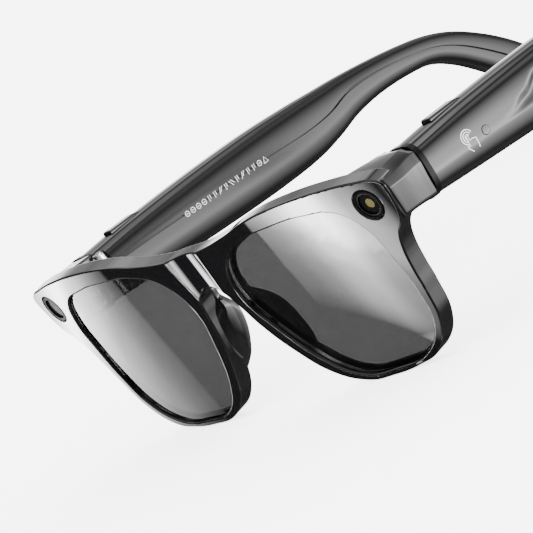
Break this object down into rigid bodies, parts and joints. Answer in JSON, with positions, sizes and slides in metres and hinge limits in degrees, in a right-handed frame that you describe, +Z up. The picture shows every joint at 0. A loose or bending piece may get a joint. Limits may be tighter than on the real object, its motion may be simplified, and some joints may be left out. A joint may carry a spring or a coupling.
{
  "type": "smart glasses",
  "caption": "Camera smart glasses with a full-rim black frame, tinted lenses, folding electronics temples, press buttons, flash and camera in the end-pieces.",
  "frame": {"origin": "middle of the footprint of the open glasses, on the surface they stand on (rim bottoms and temple tips)", "axes": "+Z up, +X towards the wearer's left, +Y back along the temples towards the ears; the front faces -Y"},
  "size_m": [0.1518, 0.1672, 0.0473],
  "materials": {
    "frame_plastic": "polished black, injection moulded",
    "trim_plastic": "black, polished",
    "temple_plastic": "polished black",
    "temple_inner": "black, slightly softer polish",
    "gasket_rubber": "black, satin",
    "button_plastic": "polished black",
    "lens_tint": "dark grey tint, polished",
    "hinge_metal": "bright plated steel",
    "screw_steel": "plain steel",
    "bright_ring": "thin bright plated ring",
    "phosphor": "yellow phosphor under clear resin",
    "circuit_board": "solder-masked laminate",
    "flex": "amber film",
    "camera_glass": "coated dark glass",
    "module_plastic": "black, matt",
    "mesh_metal": "black woven mesh",
    "battery_wrap": "grey foil pouch",
    "status_window": "dark, polished",
    "contact_metal": "gold plated"
  },
  "bodies": {
    "front": {"front_frame": "frame_plastic", "brow_cover": "trim_plastic", "front_flex_cable": "flex", "front_hinge_screws": "screw_steel", "flash_bezel": "trim_plastic", "flash_ring": "bright_ring", "flash_reflector": "trim_plastic", "flash_emitter": "phosphor", "flash_board": "circuit_board", "camera_bezel": "trim_plastic", "camera_window": "camera_glass", "camera_module": "module_plastic", "left_lens": "lens_tint", "left_nose_pad": "frame_plastic", "left_end_piece_cover": "trim_plastic", "left_front_hinge_leaf": "hinge_metal", "left_hinge_pin": "hinge_metal", "right_lens": "lens_tint", "right_nose_pad": "frame_plastic", "right_end_piece_cover": "trim_plastic", "right_front_hinge_leaf": "hinge_metal", "right_hinge_pin": "hinge_metal"},
    "left_temple": {"left_temple_shell": "temple_plastic", "left_temple_cover": "temple_inner", "left_temple_gasket": "gasket_rubber", "left_temple_hinge_leaf": "hinge_metal", "left_temple_hinge_screws": "screw_steel", "left_temple_core": "screw_steel", "left_speaker": "module_plastic", "left_speaker_mesh": "mesh_metal", "left_button_switch": "module_plastic", "left_battery": "battery_wrap", "main_board": "circuit_board", "touch_sensor": "flex", "charging_magnet": "hinge_metal", "status_window": "status_window", "charging_contacts": "contact_metal"},
    "right_temple": {"right_temple_shell": "temple_plastic", "right_temple_cover": "temple_inner", "right_temple_gasket": "gasket_rubber", "right_temple_hinge_leaf": "hinge_metal", "right_temple_hinge_screws": "screw_steel", "right_temple_core": "screw_steel", "right_speaker": "module_plastic", "right_speaker_mesh": "mesh_metal", "right_button_switch": "module_plastic", "right_battery": "battery_wrap", "sub_board": "circuit_board", "right_microphone": "module_plastic"},
    "shutter_button": {"shutter_button": "button_plastic"},
    "power_button": {"power_button": "button_plastic"}
  },
  "joints": [
    {"name": "left_temple_fold", "type": "hinge", "parent": "front", "child": "left_temple", "pos_m": [0.0617, -0.06377, 0.03868], "axis": [0, -0.153, 0.9882], "range_deg": [0, 90]},
    {"name": "right_temple_fold", "type": "hinge", "parent": "front", "child": "right_temple", "pos_m": [-0.0617, -0.06377, 0.03868], "axis": [0, 0.153, -0.9882], "range_deg": [0, 74]},
    {"name": "shutter_press", "type": "slide", "parent": "left_temple", "child": "shutter_button", "axis": [0, 0, -1], "range_m": [0, 0.0004], "stiffness_N_per_m": 300},
    {"name": "power_press", "type": "slide", "parent": "right_temple", "child": "power_button", "axis": [0, 0, -1], "range_m": [0, 0.0004], "stiffness_N_per_m": 300}
  ]
}
